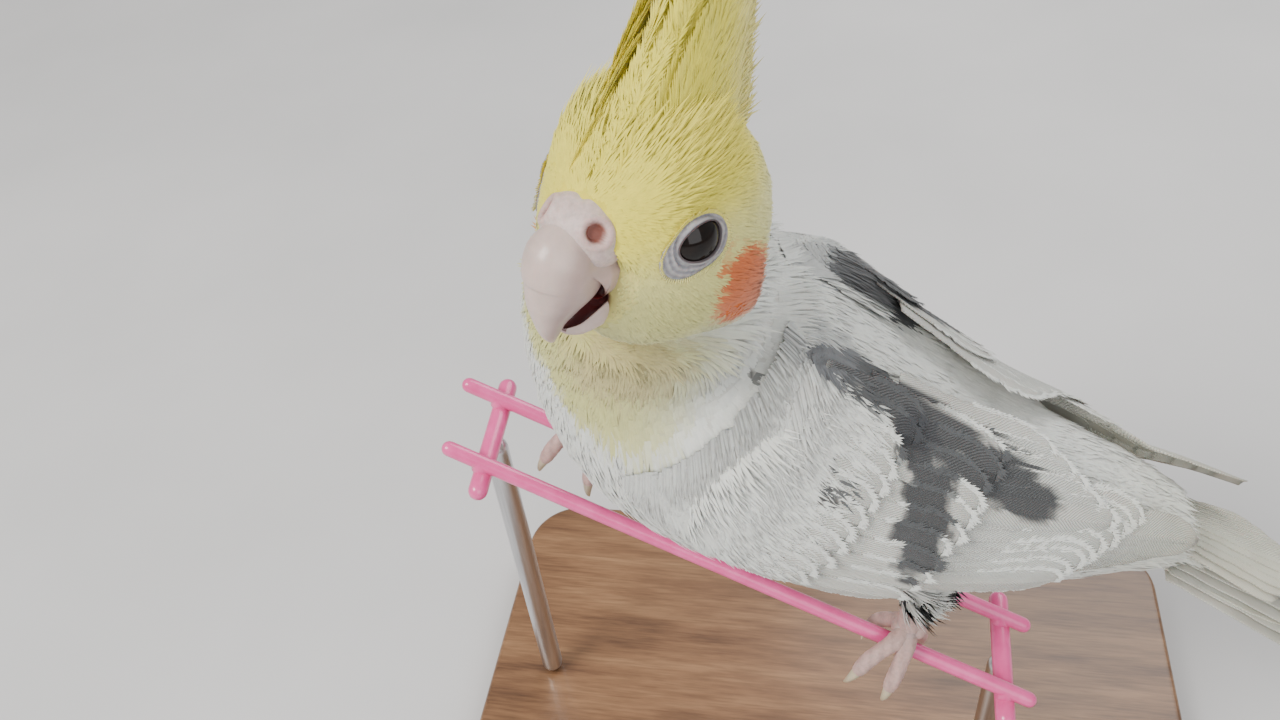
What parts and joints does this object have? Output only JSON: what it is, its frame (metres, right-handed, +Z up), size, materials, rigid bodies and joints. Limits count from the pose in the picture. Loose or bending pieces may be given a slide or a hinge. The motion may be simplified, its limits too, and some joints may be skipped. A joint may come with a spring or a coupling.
{
  "type": "cockatiel display model",
  "caption": "Life-size still model of a pied cockatiel with raised crest, gripping a short piece of wire panel on a display stand.",
  "frame": {"origin": "centre of the stand base's flat underside, on the surface it stands on", "axes": "+Z up, -Y the way the bird's body faces, +X the bird's left, towards which its head is turned"},
  "size_m": [0.118, 0.2791, 0.2254],
  "materials": {
    "plumage_white": "soft matt feathers, white with a faint yellow tint",
    "plumage_face": "soft matt feathers, yellow, with a round orange patch behind and below each eye",
    "plumage_yellow": "matt crest feathers, clear yellow",
    "plumage_grey": "white wing feathers with charcoal grey patches",
    "bill": "satin horn, greyish pink",
    "cere": "bare skin, pale pink, slightly damp",
    "tongue": "smooth skin, dark pink",
    "eye": "polished, near-black brown",
    "skin": "scaled bare skin, pale pink",
    "claw": "satin horn, pale",
    "coated_wire": "gloss plastic coating over steel wire, pink",
    "stand": "satin varnish, mid brown",
    "rod": "brushed"
  },
  "bodies": {
    "root": {"torso": "plumage_white", "neck": "plumage_white", "head": "plumage_face", "crest": "plumage_yellow", "tail": "plumage_white", "wing_left": "plumage_grey", "wing_right": "plumage_grey", "thigh_left": "plumage_white", "thigh_right": "plumage_white", "bill_upper": "bill", "bill_lower": "bill", "cere": "cere", "tongue": "tongue", "eye_left": "eye", "eye_right": "eye", "foot_left": "skin", "foot_right": "skin", "perch": "coated_wire", "stand_base": "stand", "stand_rod_front": "rod", "stand_rod_rear": "rod", "claw_left_1": "claw", "claw_left_2": "claw", "claw_left_3": "claw", "claw_left_4": "claw", "claw_right_1": "claw", "claw_right_2": "claw", "claw_right_3": "claw", "claw_right_4": "claw"}
  },
  "joints": []
}
